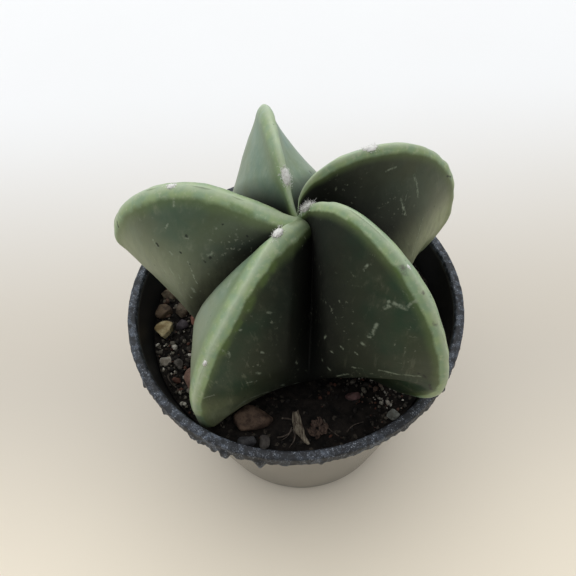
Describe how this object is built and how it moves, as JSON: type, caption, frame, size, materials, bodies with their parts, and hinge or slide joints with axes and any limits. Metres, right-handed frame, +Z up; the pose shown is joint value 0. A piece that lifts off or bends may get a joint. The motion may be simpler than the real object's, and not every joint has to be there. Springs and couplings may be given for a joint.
{
  "type": "potted cactus",
  "caption": "Bishop's cap cactus with thick wedge-shaped ribs and woolly areoles, growing in gritty soil in a round tapered nursery pot with a rolled lip and a few stones on top.",
  "frame": {"origin": "centre of the pot's flat bottom, on the table", "axes": "+Z up, along the pot's axis; -Y towards the viewer, the side that shows the deep furrow between the two front ribs; +X to the viewer's right"},
  "size_m": [0.0855, 0.0856, 0.1091],
  "materials": {
    "cactus_skin": "waxy, dull green with pale yellow-green rib edges, corky scars and white wool",
    "pot_plastic": "thin black moulded plastic, dull, with gritty lime crust on the lip",
    "potting_soil": "dark crumbly potting mix with grit",
    "stone_pale": "rough, cream to off-white",
    "stone_brown": "rough, brown",
    "stone_dark": "rough, dark grey",
    "stone_red": "rough, red-brown",
    "bark": "fibrous, dry",
    "husk": "papery, dry"
  },
  "bodies": {
    "root": {"cactus": "cactus_skin", "pot": "pot_plastic", "soil": "potting_soil", "stone_cream": "stone_pale", "stone_brown": "stone_brown", "stone_beige": "stone_pale", "stone_greybrown": "stone_brown", "stone_purple": "stone_dark", "stone_terracotta": "stone_red", "stone_offwhite": "stone_pale", "stone_pinkbrown": "stone_red", "stone_grey": "stone_dark", "stone_redbrown": "stone_red", "stone_darkgrey": "stone_dark", "stone_smallbrown": "stone_brown", "stone_lightgrey": "stone_pale", "stone_reddish": "stone_red", "bark_crumb": "bark", "dry_husk": "husk"}
  },
  "joints": []
}
